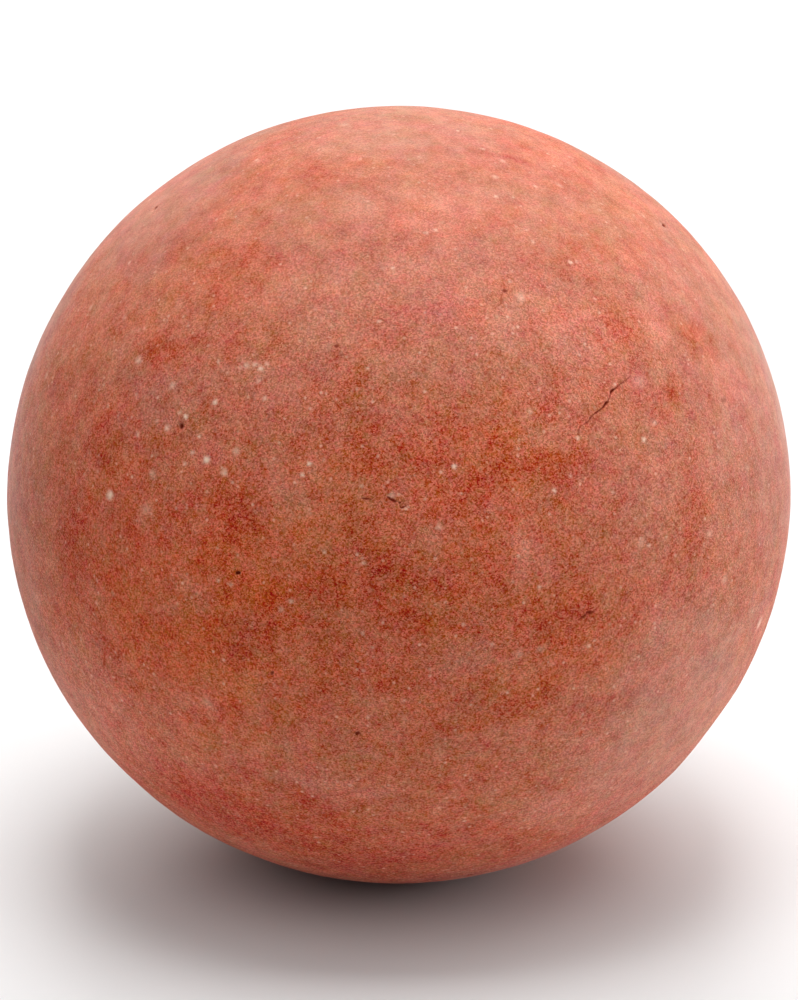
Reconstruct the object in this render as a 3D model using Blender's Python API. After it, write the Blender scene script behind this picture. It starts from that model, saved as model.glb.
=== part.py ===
"""A round maifan stone: one solid ball, about 20 mm across, that rests on a small flat spot."""

import math

import bmesh
import bpy
from mathutils import Matrix, Vector

# Sizes are in metres and angles in degrees. A place on the ball is given by its turn,
# to the right from the front, and its rise above the level of the ball's middle.

RADIUS = 0.010
FOOT_DIAMETER = 0.004
SPLITS = 5

COLOUR = (0.40, 0.105, 0.055, 1.0)
ROUGHNESS = 0.75

# How far the ball departs from round: turn, rise, half width of the form, height.
SWELLINGS = (
    (97, 17, 34, 0.000050),
    (-90, 0, 38, 0.000048),
    (180, 68, 32, -0.000030),
    (0, -66, 30, -0.000026),
    (-20, 22, 26, 0.000022),
    (32, 44, 20, -0.000018),
    (150, -12, 30, 0.000030),
    (-140, 34, 26, -0.000030),
)

# Shallow dents: turn, rise, half width of the form, depth.
DENTS = (
    (-37, 25, 5, 0.000030),
    (41, 30, 6, 0.000035),
    (62, 24, 4, 0.000030),
    (-8, -14, 6, 0.000020),
    (128, 40, 7, 0.000045),
    (-112, -24, 6, 0.000040),
    (168, 12, 8, 0.000040),
    (-158, -38, 6, 0.000035),
)

# Places that are rubbed flat: turn, rise, depth.
FLATS = (
    (75, -35, 0.000080),
    (-128, -6, 0.000055),
    (156, 58, 0.000050),
)
FLAT_SOFTNESS = 0.000030

# Cracks, point by point: turn, rise, width and depth there.
LONG_CRACK = (
    (43.6, 32.9, 0.00002, 0.00004),
    (42.0, 32.4, 0.00006, 0.00014),
    (39.5, 31.9, 0.00008, 0.00020),
    (37.5, 31.1, 0.00015, 0.00030),
    (36.5, 30.6, 0.00009, 0.00026),
    (36.0, 29.9, 0.00008, 0.00026),
    (35.2, 29.5, 0.00014, 0.00030),
    (33.4, 28.8, 0.00009, 0.00024),
    (32.3, 28.4, 0.00008, 0.00022),
    (31.0, 27.6, 0.00006, 0.00016),
    (30.1, 27.0, 0.00004, 0.00010),
    (29.1, 26.6, 0.00006, 0.00012),
    (28.6, 26.0, 0.00002, 0.00004),
)
SLIT = (
    (26.0, 0.2, 0.00003, 0.00006),
    (26.7, 0.7, 0.00011, 0.00018),
    (27.5, 1.1, 0.00012, 0.00018),
    (28.3, 1.6, 0.00003, 0.00006),
)
FIRST_SHORT_CRACK = (
    (-5.6, 19.5, 0.00002, 0.00003),
    (-4.8, 19.3, 0.00007, 0.00010),
    (-3.9, 19.4, 0.00002, 0.00003),
)
SECOND_SHORT_CRACK = (
    (-1.7, 19.7, 0.00002, 0.00003),
    (-0.9, 19.2, 0.00007, 0.00012),
    (0.1, 19.0, 0.00008, 0.00012),
    (0.7, 18.3, 0.00009, 0.00014),
    (1.7, 18.3, 0.00002, 0.00003),
)
BACK_CRACK = (
    (156.0, 21.0, 0.00002, 0.00004),
    (158.5, 19.2, 0.00008, 0.00018),
    (160.0, 16.6, 0.00012, 0.00026),
    (163.2, 14.8, 0.00009, 0.00024),
    (164.6, 12.0, 0.00013, 0.00026),
    (168.0, 9.6, 0.00008, 0.00018),
    (169.6, 6.4, 0.00002, 0.00004),
)
SIDE_CRACK = (
    (-101.0, 31.0, 0.00002, 0.00004),
    (-103.5, 32.2, 0.00008, 0.00016),
    (-106.0, 32.0, 0.00010, 0.00020),
    (-109.4, 34.0, 0.00007, 0.00014),
    (-111.8, 33.4, 0.00002, 0.00004),
)
CRACKS = (
    LONG_CRACK,
    SLIT,
    FIRST_SHORT_CRACK,
    SECOND_SHORT_CRACK,
    BACK_CRACK,
    SIDE_CRACK,
)
CRACK_LIFT = 0.00012

# Pits: turn, rise, lean of the long side, length, width, depth.
PITS = (
    (22.8, 48.6, 60, 0.00017, 0.00013, 0.00010),
    (-23.0, 7.5, 24, 0.00022, 0.00011, 0.00010),
    (-36.1, 26.1, 70, 0.00024, 0.00017, 0.00012),
    (-35.3, 24.6, 10, 0.00015, 0.00012, 0.00007),
    (61.7, 24.0, -30, 0.00030, 0.00014, 0.00010),
    (-38.6, 30.7, 0, 0.00016, 0.00012, 0.00008),
    (-11.4, 40.6, 0, 0.00012, 0.00011, 0.00008),
    (-6.0, -15.6, 20, 0.00016, 0.00012, 0.00008),
    (-18.0, -6.6, 45, 0.00014, 0.00011, 0.00008),
    (84.0, 48.0, 15, 0.00022, 0.00014, 0.00010),
    (106.0, -8.0, -50, 0.00026, 0.00018, 0.00012),
    (121.0, 27.0, 30, 0.00018, 0.00014, 0.00010),
    (139.0, -34.0, 75, 0.00024, 0.00013, 0.00010),
    (178.0, 41.0, -15, 0.00020, 0.00016, 0.00012),
    (-171.0, -9.0, 40, 0.00030, 0.00018, 0.00013),
    (-149.0, 15.0, -65, 0.00016, 0.00013, 0.00009),
    (-131.0, -44.0, 5, 0.00022, 0.00015, 0.00010),
    (-96.0, 9.0, 55, 0.00018, 0.00014, 0.00010),
    (-84.0, 52.0, -35, 0.00024, 0.00014, 0.00010),
    (20.0, -58.0, 80, 0.00020, 0.00014, 0.00010),
)
PIT_SPLITS = 2


def direction(turn, rise):
    """The unit vector from the ball's middle towards a place on it."""
    turn = math.radians(turn)
    rise = math.radians(rise)
    return Vector((math.sin(turn) * math.cos(rise), -math.cos(turn) * math.cos(rise), math.sin(rise)))


def hump(towards, turn, rise, half_width):
    """1 at a place, falling smoothly to nothing about twice its half width away."""
    angle = math.degrees(towards.angle(direction(turn, rise)))
    return math.exp(-((angle / half_width) ** 2))


def softened_minimum(first, second, softness):
    """The smaller of two distances, rounded where they meet."""
    nearness = max(softness - abs(first - second), 0.0) / softness
    return min(first, second) - nearness**2 * softness / 4


def radius_towards(towards):
    """How far the skin is from the ball's middle in one direction."""
    radius = RADIUS
    for turn, rise, half_width, height in SWELLINGS:
        radius += height * hump(towards, turn, rise, half_width)
    for turn, rise, half_width, depth in DENTS:
        radius -= depth * hump(towards, turn, rise, half_width)
    for turn, rise, depth in FLATS:
        slope = towards.dot(direction(turn, rise))
        if slope > 0.5:
            radius = softened_minimum(radius, (RADIUS - depth) / slope, FLAT_SOFTNESS)
    return radius


def skin_point(turn, rise):
    """The point of the skin at a place on the ball."""
    towards = direction(turn, rise)
    return towards * radius_towards(towards)


def foot_height():
    """How far below the ball's middle the flat spot lies."""
    return math.sqrt(RADIUS**2 - (FOOT_DIAMETER / 2) ** 2)


def mesh_object(name, bm):
    """An object from a finished bmesh, lifted so that the flat spot is at height 0."""
    bmesh.ops.translate(bm, verts=bm.verts, vec=(0, 0, foot_height()))
    bmesh.ops.recalc_face_normals(bm, faces=bm.faces)
    mesh = bpy.data.meshes.new(name)
    bm.to_mesh(mesh)
    bm.free()
    made = bpy.data.objects.new(name, mesh)
    bpy.context.scene.collection.objects.link(made)
    return made


def make_stone():
    """The ball: a round form with its swellings, dents and rubbed places, cut off flat at the foot."""
    bm = bmesh.new()
    bmesh.ops.create_icosphere(bm, subdivisions=SPLITS, radius=1.0)
    for vert in bm.verts:
        towards = vert.co.normalized()
        vert.co = towards * radius_towards(towards)
    cut = bmesh.ops.bisect_plane(
        bm,
        geom=bm.verts[:] + bm.edges[:] + bm.faces[:],
        plane_co=(0, 0, -foot_height()),
        plane_no=(0, 0, 1),
        clear_inner=True,
    )
    rim = [part for part in cut["geom_cut"] if isinstance(part, bmesh.types.BMEdge)]
    filled = bmesh.ops.contextual_create(bm, geom=rim)
    bmesh.ops.poke(bm, faces=filled["faces"])
    return mesh_object("maifan_stone", bm)


def add_crack(bm, route):
    """A closed blade along a crack: wide above the skin, and an edge at the crack's depth."""
    points = [skin_point(turn, rise) for turn, rise, _, _ in route]
    sections = []
    for i, (turn, rise, width, depth) in enumerate(route):
        outward = direction(turn, rise)
        along = points[min(i + 1, len(points) - 1)] - points[max(i - 1, 0)]
        side = outward.cross(along).normalized()
        reach = side * (width / 2) * (depth + CRACK_LIFT) / depth
        top = points[i] + outward * CRACK_LIFT
        corners = (top - reach, top + reach, points[i] - outward * depth)
        sections.append([bm.verts.new(corner) for corner in corners])
    for near, far in zip(sections, sections[1:]):
        for first, second in ((0, 1), (1, 2), (2, 0)):
            bm.faces.new((near[first], near[second], far[second]))
            bm.faces.new((near[first], far[second], far[first]))
    bm.faces.new(sections[0])
    bm.faces.new(sections[-1])


def add_pit(bm, turn, rise, lean, length, width, depth):
    """A small egg-shaped lump, half of it below the skin, that leaves a pit."""
    outward = direction(turn, rise)
    right = Vector((0, 0, 1)).cross(outward).normalized()
    up = outward.cross(right)
    lean = math.radians(lean)
    long_side = right * math.cos(lean) + up * math.sin(lean)
    short_side = outward.cross(long_side)
    place = Matrix((long_side, short_side, outward)).transposed().to_4x4()
    place.translation = skin_point(turn, rise)
    stretch = Matrix.Diagonal((length / 2, width / 2, depth, 1.0))
    bmesh.ops.create_icosphere(bm, subdivisions=PIT_SPLITS, radius=1.0, matrix=place @ stretch)


def cut_from(stone, name, bm):
    """Cuts a group of closed shapes out of the ball, which keeps them as a hidden cutter."""
    cutter = mesh_object(name, bm)
    cutter.display_type = "WIRE"
    cutter.hide_render = True
    cut = stone.modifiers.new(name, "BOOLEAN")
    cut.operation = "DIFFERENCE"
    cut.solver = "EXACT"
    cut.object = cutter


def cut_marks(stone):
    """The cracks and the pits."""
    blades = bmesh.new()
    for route in CRACKS:
        add_crack(blades, route)
    cut_from(stone, "crack_cutter", blades)
    lumps = bmesh.new()
    for pit in PITS:
        add_pit(lumps, *pit)
    cut_from(stone, "pit_cutter", lumps)


def paint(stone):
    """Dry, matt, brick-red stone."""
    material = bpy.data.materials.new("stone")
    material.use_nodes = True
    shader = material.node_tree.nodes["Principled BSDF"]
    shader.inputs["Base Color"].default_value = COLOUR
    shader.inputs["Roughness"].default_value = ROUGHNESS
    shader.inputs["Metallic"].default_value = 0.0
    stone.data.materials.append(material)
    stone.data.shade_smooth()
    stone.data.set_sharp_from_angle(angle=math.radians(30))


def main():
    for old in list(bpy.data.objects):
        bpy.data.objects.remove(old)
    stone = make_stone()
    cut_marks(stone)
    paint(stone)


main()
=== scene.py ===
import math

import bpy
import numpy as np
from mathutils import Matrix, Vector


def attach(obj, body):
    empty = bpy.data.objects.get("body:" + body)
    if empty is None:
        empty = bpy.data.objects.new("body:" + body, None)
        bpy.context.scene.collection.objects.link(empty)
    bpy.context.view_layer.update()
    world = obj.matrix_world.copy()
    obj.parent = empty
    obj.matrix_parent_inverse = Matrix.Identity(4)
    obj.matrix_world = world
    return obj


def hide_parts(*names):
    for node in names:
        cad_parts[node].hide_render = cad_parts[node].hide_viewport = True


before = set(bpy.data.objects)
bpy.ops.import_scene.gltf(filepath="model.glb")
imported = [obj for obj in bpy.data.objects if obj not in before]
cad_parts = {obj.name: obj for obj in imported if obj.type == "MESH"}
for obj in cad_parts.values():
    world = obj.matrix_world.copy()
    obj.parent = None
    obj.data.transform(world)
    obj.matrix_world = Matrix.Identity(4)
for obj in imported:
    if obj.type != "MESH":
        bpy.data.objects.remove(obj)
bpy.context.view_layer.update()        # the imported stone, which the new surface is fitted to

bl_info = {
    "name": "Maifan Stone",
    "version": (1, 0, 0),
    "blender": (4, 5, 0),
    "location": "3D View > Sidebar > Maifan Stone",
    "description": "A dry, matt, brick-red ball of pressed stone with a hairline crack, on a pale floor",
    "category": "Add Mesh",
}

# Lengths are in metres and angles in degrees, unless a name says otherwise. A place on the ball is
# given by its turn, to the right from the front, and its rise above the level of the ball's middle. A size
# in radii is a share of the ball's radius.

NODE = "maifan_stone"
BODY = "root"
MM = 0.001
WHITE = (1, 1, 1, 1)

DIAMETER = 0.020
FOOT_DIAMETER = 0.004
CELLS = 126

# How far the ball departs from round: turn, rise, half width of the form, height.
SWELLINGS = (
    (97, 17, 34, 0.00005),
    (-90, 0, 38, 0.000048),
    (180, 68, 32, -0.00003),
    (0, -66, 30, -0.000026),
    (-20, 22, 26, 0.000022),
    (32, 44, 20, -0.000018),
    (150, -12, 30, 0.00003),
    (-140, 34, 26, -0.00003),
)

# Shallow dents: turn, rise, half width of the form, depth.
DENTS = (
    (-37, 25, 5, 0.00003),
    (41, 30, 6, 0.000035),
    (62, 24, 4, 0.00003),
    (-8, -14, 6, 0.00002),
    (128, 40, 7, 0.000045),
    (-112, -24, 6, 0.00004),
    (168, 12, 8, 0.00004),
    (-158, -38, 6, 0.000035),
)

# Places that are rubbed flat: turn, rise, depth.
FLATS = (
    (75, -35, 0.00008),
    (-128, -6, 0.000055),
    (156, 58, 0.00005),
)
FLAT_SOFTNESS = 0.000030

# Cracks, point by point: turn, rise, width, depth and darkness there. The darkness is painted shade.
LONG_CRACK = (
    (42.1, 32.5, 0.000034, 0.00001, 0.4),
    (41.6, 32.3, 0.00004, 0.00001, 0.6),
    (40.3, 31.9, 0.000044, 0.00001, 0.7),
    (39.6, 31.8, 0.000044, 0.00001, 0.7),
    (38.9, 31.6, 0.000046, 0.00001, 0.75),
    (38.1, 31.3, 0.000055, 0.00002, 0.85),
    (37.6, 31.2, 0.000085, 0.00005, 1),
    (37.1, 31.0, 0.000075, 0.00005, 1),
    (36.7, 30.7, 0.00004, 0.00001, 0.65),
    (36.4, 30.3, 0.000038, 0.00001, 0.6),
    (35.9, 29.9, 0.000045, 0.00001, 0.65),
    (35.5, 29.7, 0.00008, 0.00005, 1),
    (34.9, 29.3, 0.000065, 0.00004, 0.95),
    (34.4, 29.1, 0.000048, 0.00002, 0.8),
    (33.8, 28.9, 0.000044, 0.00002, 0.75),
    (33.2, 28.7, 0.000055, 0.00002, 0.9),
    (32.5, 28.5, 0.000042, 0.00001, 0.7),
    (32.1, 28.3, 0.000036, 0.00001, 0.55),
    (31.6, 28.1, 0.000052, 0.00002, 0.9),
    (31.3, 27.8, 0.00004, 0.00001, 0.65),
    (30.9, 27.6, 0.000052, 0.00002, 0.85),
    (30.1, 27.4, 0.000032, 0.00001, 0.35),
    (29.5, 27.2, 0.000032, 0.00001, 0.35),
    (29.1, 26.8, 0.000044, 0.00001, 0.7),
    (28.8, 26.2, 0.00004, 0.00001, 0.6),
)
SLIT = (
    (25.8, 0.4, 0.00003, 0.00001, 0.3),
    (26.1, 0.5, 0.00005, 0.00002, 0.75),
    (26.4, 0.6, 0.000065, 0.00002, 0.85),
    (26.8, 0.9, 0.000075, 0.00002, 0.95),
    (27.0, 1, 0.00005, 0.00001, 0.5),
    (27.1, 1.2, 0.000065, 0.00002, 0.85),
    (27.4, 1.1, 0.00009, 0.00003, 1),
    (27.8, 1.1, 0.000065, 0.00002, 0.8),
    (28.2, 1.1, 0.000045, 0.00001, 0.55),
    (28.5, 1.2, 0.00003, 0.00001, 0.2),
)
FIRST_SHORT_CRACK = (
    (-5.3, 19.4, 0.000046, 0.00001, 0.75),
    (-4.8, 19.4, 0.000058, 0.00002, 1),
    (-4.1, 19.3, 0.00004, 0.00001, 0.6),
)
SECOND_SHORT_CRACK = (
    (-1.7, 19.7, 0.000046, 0.00001, 0.8),
    (-1.1, 19.3, 0.000062, 0.00002, 1),
    (-0.6, 19.1, 0.000058, 0.00002, 0.95),
    (-0.2, 19.0, 0.00003, 0.00001, 0.15),
    (0.1, 18.9, 0.000062, 0.00002, 1),
    (0.1, 18.6, 0.00003, 0.00001, 0.2),
    (0.3, 18.3, 0.00006, 0.00002, 1),
    (0.6, 18.3, 0.000066, 0.00002, 1),
    (1, 18.5, 0.000042, 0.00001, 0.55),
)
BACK_CRACK = (
    (156, 21, 0.00003, 0.00001, 0.25),
    (158.5, 19.2, 0.00005, 0.00002, 0.6),
    (159.4, 18, 0.00008, 0.00005, 1),
    (160, 16.6, 0.000045, 0.00002, 0.75),
    (161.7, 15.6, 0.000036, 0.00001, 0.4),
    (163.2, 14.8, 0.000055, 0.00002, 0.8),
    (164, 13.4, 0.00008, 0.00005, 1),
    (164.6, 12, 0.000045, 0.00002, 0.7),
    (166.4, 10.9, 0.000034, 0.00001, 0.35),
    (168, 9.6, 0.000045, 0.00002, 0.65),
    (169.6, 6.4, 0.00003, 0.00001, 0.2),
)
SIDE_CRACK = (
    (-101, 31, 0.00003, 0.00001, 0.25),
    (-103.5, 32.2, 0.00005, 0.00002, 0.7),
    (-106, 32, 0.00007, 0.00003, 1),
    (-107.8, 33.2, 0.000036, 0.00001, 0.45),
    (-109.4, 34, 0.000045, 0.00002, 0.7),
    (-111.8, 33.4, 0.00003, 0.00001, 0.2),
)
# Cracks that lie close together share one crowd of fine cells.
CRACK_GROUPS = (
    (LONG_CRACK,),
    (SLIT,),
    (FIRST_SHORT_CRACK, SECOND_SHORT_CRACK),
    (BACK_CRACK,),
    (SIDE_CRACK,),
)
CRACKS = tuple(route for group in CRACK_GROUPS for route in group)
# A crack has its full depth inside the first share of its half width, and none outside the second.
CRACK_RIM = (0.6, 1.4)

# Pits: turn, rise, lean of the long side, length, width, depth, darkness. The darkness is painted shade.
PITS = (
    (22.8, 48.5, 0, 0.00014, 0.00012, 0.00008, 0.85),
    (-23, 7.6, 15, 0.00015, 0.00009, 0.0001, 1),
    (-36.1, 26.2, 50, 0.00015, 0.00013, 0.00009, 0.95),
    (61.8, 24, -5, 0.00022, 0.00011, 0.00005, 0.4),
    (-38.5, 30.8, 0, 0.00009, 0.00009, 0.00006, 0.75),
    (-11.4, 40.6, 0, 0.0001, 0.0001, 0.00007, 0.8),
    (-6, -15.6, 20, 0.00014, 0.0001, 0.00007, 0.85),
    (-18, -6.6, 45, 0.00012, 0.00009, 0.00007, 0.8),
    (84, 48, 15, 0.00018, 0.00012, 0.00009, 0.9),
    (106, -8, -50, 0.0002, 0.00014, 0.0001, 1),
    (121, 27, 30, 0.00014, 0.00011, 0.00008, 0.85),
    (139, -34, 75, 0.00018, 0.0001, 0.00008, 0.8),
    (178, 41, -15, 0.00016, 0.00013, 0.00009, 0.95),
    (-171, -9, 40, 0.00024, 0.00014, 0.0001, 0.9),
    (-149, 15, -65, 0.00012, 0.0001, 0.00007, 0.8),
    (-131, -44, 5, 0.00018, 0.00012, 0.00008, 0.85),
    (-96, 9, 55, 0.00014, 0.00011, 0.00008, 0.85),
    (-84, 52, -35, 0.0002, 0.00011, 0.00008, 0.8),
    (20, -58, 80, 0.00016, 0.00011, 0.00008, 0.8),
)

# The dark of a round pit is drawn as a piece that is this share of the pit's width long.
LEAST_LENGTH = 0.1

# The skin's cells are crowded around the marks. The pull reaches so many lengths of a pit, so many spreads
# of a group of cracks and a margin more, and so far beside a crack. It takes away a share of the distance.
PIT_REACH = 2.2
PIT_PULL = 0.72
GROUP_REACH = 2.2
GROUP_MARGIN = 0.0007
GROUP_PULL = 0.75
CRACK_REACH = 0.0003
CRACK_PULL = 0.6

# How ragged the rims of the cracks and the pits are, and the size, in radii, and seed of what makes them so.
CRACK_RAGGEDNESS = 0.3
PIT_RAGGEDNESS = 0.35
RAGGED_SIZE = 0.006
RAGGED_SEED = 14

# Patches of colour: turn, rise, half width, half height, strength. First, deep red, and painted shade low
# down.
DEEP_AND_SHADED_PATCHES = (
    (20.6, 22, 7.5, 2.3, 0.9),
    (45, 39, 5.5, 3.2, 0.55),
    (62, 33.3, 4.5, 3.5, 0.55),
    (51.4, 28.2, 3, 2, 0.5),
    (-5.2, 25.4, 5, 2.5, 0.6),
    (-24.1, 14.9, 4.5, 4, 0.5),
    (-49, 20.6, 6, 5, 0.7),
    (-53.5, 7, 4, 7, 0.6),
    (-46, 35.6, 4, 2, 0.6),
    (-37, 53, 7, 3.5, 0.45),
    (-38, 46.5, 4, 3, 0.4),
    (-33, 70, 6, 4, 0.3),
    (31, 61.4, 5, 3, 0.25),
    (13.6, 11, 1.9, 3.2, 0.8),
    (22.5, 0.5, 5.5, 3, 0.8),
    (36, 1.3, 3.5, 3, 0.35),
    (-1, 9, 4, 2.5, 0.5),
    (-21.8, -1.3, 4.5, 4, 0.5),
    (-46.7, -9.3, 5, 5, 0.45),
    (17.4, -11.7, 7.5, 2.5, 0.7),
    (30.6, -15, 4, 3.5, 0.4),
    (7.3, -14.6, 4, 2.5, 0.7),
    (47.5, 9.5, 2.6, 7.5, 0.4),
    (-50, 18, 18, 10, 0.4),
    # These three broad patches are painted shade: they make the ball darker towards the bottom.
    (-6, -71, 44, 12, 1),
    (-30, -38, 22, 11, 0.85),
    (-5, -46, 26, 9, 0.45),
    (150, 24, 9, 4, 0.9),
    (172, -6, 5, 7, 0.8),
    (-160, 20, 7, 4, 0.8),
    (-134, 2, 6, 5, 0.8),
    (-108, 14, 4, 6, 0.8),
    (-116, 44, 8, 3, 0.7),
    (112, 18, 6, 3.5, 0.9),
    (96, -14, 5, 4, 0.7),
    (130, -4, 4, 5, 0.7),
    (-170, -34, 24, 9, 0.7),
)

# Patches of pale dust, and broad patches of painted light.
PALE_AND_LIT_PATCHES = (
    (-25.4, 36, 3.5, 2, 1),
    (-30, 23, 3.5, 2.5, 0.5),
    (-23, 50, 5, 3, 0.6),
    (-17, 19.5, 3.5, 3.5, 0.7),
    (-31.3, 2.2, 5, 4, 0.4),
    (4, 13.7, 3.5, 3, 0.7),
    (17.9, 9.6, 4, 3.3, 0.8),
    (11, -3.1, 5, 2.6, 0.7),
    (16.4, 49.4, 5.5, 3.2, 0.9),
    (32.5, 39.5, 6, 4, 0.9),
    (53, 38, 4, 3, 0.8),
    (43, 31, 2.5, 2, 0.6),
    (39.4, 16.4, 3, 4, 0.6),
    (65.8, 27, 5, 4, 0.7),
    (-10.8, -25.7, 6.5, 2.5, 0.9),
    (70, -13, 3, 4, 1),
    # From here, the broad patches are painted light: paler where more light falls, at the rims, over the top
    # and low on the right.
    (52, -24, 20, 15, 0.6),
    (42, -7, 10, 9, 0.9),
    (36, -35, 13, 7, 0.95),
    (26, -25, 8, 5, 0.5),
    (-78, -4, 18, 16, 0.9),
    (-62, -21, 20, 14, 1),
    (-114, 50, 22, 13, 1),
    (-102, 26, 14, 14, 0.5),
    (90, -4, 13, 18, 0.5),
    (0, 63, 14, 5, 0.8),
    (3, 49, 20, 9, 0.7),
    # Pale dust on the far side.
    (160, 36, 6, 3, 0.8),
    (144, 8, 4, 3.5, 0.8),
    (-174, 8, 5, 4, 0.8),
    (-150, -8, 6, 3, 0.8),
    (-122, 28, 4, 4, 0.7),
    (-100, -4, 4, 5, 0.8),
    (104, 34, 5, 4, 0.7),
    (118, -20, 6, 3, 0.8),
)

# Broad redder places, partly painted light: brighter red on the left, where the lamps light the ball too
# little.
WARM_AND_LIT_PLACES = (
    (-38, 0, 28, 22, 1),
    (-36, 46, 16, 10, 0.9),
    (5, -8, 30, 12, 0.3),
    (-160, 10, 30, 24, 0.6),
)

# Broad veils, partly dust and partly painted reflection and light, paler at the rims and over the top.
DUST_AND_REFLECTION_VEILS = (
    (20, 64, 75, 28, 0.52),
    (15, 41, 22, 11, 0.42),
    (-105, 56, 34, 18, 0.9),
    (-100, 28, 16, 18, 0.95),
    (115, 52, 20, 15, 0.8),
    (75, 25, 30, 40, 0.68),
    (92, 10, 16, 34, 0.95),
    (40, 22, 16, 24, 0.45),
    (50, -21, 22, 20, 0.95),
    (90, 88, 23, 23, 0.7),
    (0, -24, 50, 16, 0.3),
    (-74, -14, 15, 20, 0.3),
    (150, -30, 40, 30, 0.6),
    (-150, 40, 45, 26, 0.45),
    (-118, -22, 26, 30, 0.65),
)

# Where rubbed-in dust evens out the sand.
CALM_PLACES = (
    (0, 76, 80, 22, 0.33),
    (180, 60, 50, 20, 0.15),
)

# Pale grains on the side that is seen: turn, rise, width, strength.
PALE_GRAINS = (
    (-46.6, 14.0, 0.00026, 0.95),
    (-30.1, 22.4, 0.0002, 1),
    (-38.6, 25.4, 0.00017, 0.6),
    (-35.6, 27.6, 0.00014, 0.95),
    (-30.9, 30.4, 0.00015, 0.8),
    (-32.3, 25.3, 0.00012, 0.85),
    (-43.8, 23.3, 0.00014, 0.5),
    (-32.8, 23.0, 0.00015, 0.55),
    (-26.7, 21.1, 0.0002, 0.6),
    (-40.0, 31.3, 0.00022, 0.45),
    (-49.5, 33.2, 0.00024, 0.45),
    (-24.4, 36.2, 0.00017, 0.75),
    (-25.5, 36.6, 0.00015, 0.5),
    (-23.5, 36.9, 0.00013, 0.45),
    (-27.1, 36.3, 0.00018, 0.45),
    (-28.2, 35.9, 0.00014, 0.3),
    (-24.1, 34.4, 0.00013, 0.4),
    (-22.3, 32.1, 0.00013, 0.5),
    (-32.7, 36.1, 0.00012, 0.5),
    (-40.8, 26.0, 0.00012, 0.35),
    (-25.4, 24.3, 0.00022, 0.4),
    (-33.8, 21.2, 0.00014, 0.55),
    (-39.3, 18.7, 0.00024, 0.35),
    (-37.0, 28.0, 0.00012, 0.4),
    (-25.9, 6.1, 0.00012, 0.5),
    (-31.0, 2.6, 0.00012, 0.5),
    (-15.1, 4.5, 0.00013, 0.6),
    (-16.5, 3.1, 0.00018, 0.35),
    (-48.1, -2.3, 0.00012, 0.45),
    (-13.5, 23.8, 0.00013, 0.9),
    (-14.4, 22.2, 0.00012, 0.65),
    (-10.6, 11.8, 0.00012, 0.6),
    (-5.0, 10.5, 0.00012, 0.55),
    (8.3, 23.7, 0.00014, 0.85),
    (5.6, 15.5, 0.00016, 0.5),
    (-1.7, 21.8, 0.00011, 0.4),
    (-5.5, 21.1, 0.00013, 0.4),
    (-1.1, 19.9, 0.00016, 0.4),
    (0.5, 18.0, 0.00008, 0.45),
    (1, 18.1, 0.0001, 0.6),
    (1.4, 18.3, 0.00009, 0.45),
    (28.6, 25.7, 0.00013, 0.6),
    (40.4, 23.3, 0.00016, 0.75),
    (43.5, 25.1, 0.00014, 0.4),
    (43.6, 31.2, 0.00034, 0.18),
    (23.3, 19.0, 0.00014, 0.8),
    (26.2, 20.7, 0.00012, 0.45),
    (21.5, 30.3, 0.00012, 0.4),
    (37.9, 8.8, 0.00013, 0.5),
    (19.9, 6.0, 0.00012, 0.55),
    (8.9, 1.6, 0.00013, 0.45),
    (12.9, -1.7, 0.00012, 0.45),
    (27.5, -3.9, 0.00012, 0.5),
    (68.4, -12.4, 0.00034, 0.65),
    (-20.2, 49.1, 0.00012, 0.5),
    (-1.4, 53.3, 0.00012, 0.5),
    (-3.9, 44.6, 0.00012, 0.45),
    (34.5, 65.1, 0.00014, 0.5),
    (41.7, 50.9, 0.00013, 0.55),
    (24.7, 49.9, 0.00012, 0.45),
    (10.2, 59.9, 0.00012, 0.45),
    (-4.9, 0.5, 0.00012, 0.45),
    (-4.4, -12.7, 0.00012, 0.45),
    (-4.9, -5.1, 0.00011, 0.4),
)

# Dark grains on the side that is seen: turn, rise, width, strength.
DARK_GRAINS = (
    (-36.9, 25.1, 0.00014, 0.55),
    (-35.3, 24.8, 0.0002, 0.45),
    (-33.8, 25.6, 0.00011, 0.55),
    (-27.3, 28.3, 0.0001, 0.55),
    (-33.0, 30.3, 0.00011, 0.45),
    (-29.8, 26.8, 0.0001, 0.5),
    (-13.2, 9.5, 0.00012, 0.35),
    (-18.9, -8.4, 0.0001, 0.5),
    (62.7, 22.8, 0.0001, 0.35),
)

# Clusters of pale grains on the sides that are not seen: turn, rise, spread, count.
GRAIN_CLUSTERS = (
    (-138, 12, 7, 20),
    (118, 44, 6, 14),
    (172, -18, 8, 12),
    (-92, -20, 6, 8),
    (105, -30, 8, 8),
)
# Least and most width and strength of the grains in them.
CLUSTER_WIDTHS = (0.00011, 0.00024)
CLUSTER_STRENGTHS = (0.35, 1.0)
# Faint grains all over: count, least and most width, least and most strength. Dark ones are below 0.
LOOSE_GRAINS = (
    (420, (0.00007, 0.00013), (0.1, 0.45)),
    (90, (0.00014, 0.00034), (0.08, 0.3)),
    (160, (0.00006, 0.00012), (-0.45, -0.1)),
)
GRAIN_SEED = 31
# How far the edge of a grain wanders, in millimetres, and in how many waves a millimetre.
GRAIN_WANDER = 0.05
GRAIN_WAVES = 12.0
# A grain fades out at this share of its width from its middle, and this power keeps its core small.
GRAIN_REACH = 0.9
GRAIN_FADE = 1.7
# The same for the edges of the cracks and the pits. The dark is full inside the first share of the width.
MARK_WANDER = 0.022
MARK_WAVES = 14.0
MARK_EDGE = (0.2, 0.7)

# Low waves of the skin: share of the unevenness, size in radii, and seed.
WAVES = (
    (1.0, 0.17, 11),
    (0.45, 0.06, 12),
    (0.2, 0.025, 13),
)
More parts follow.
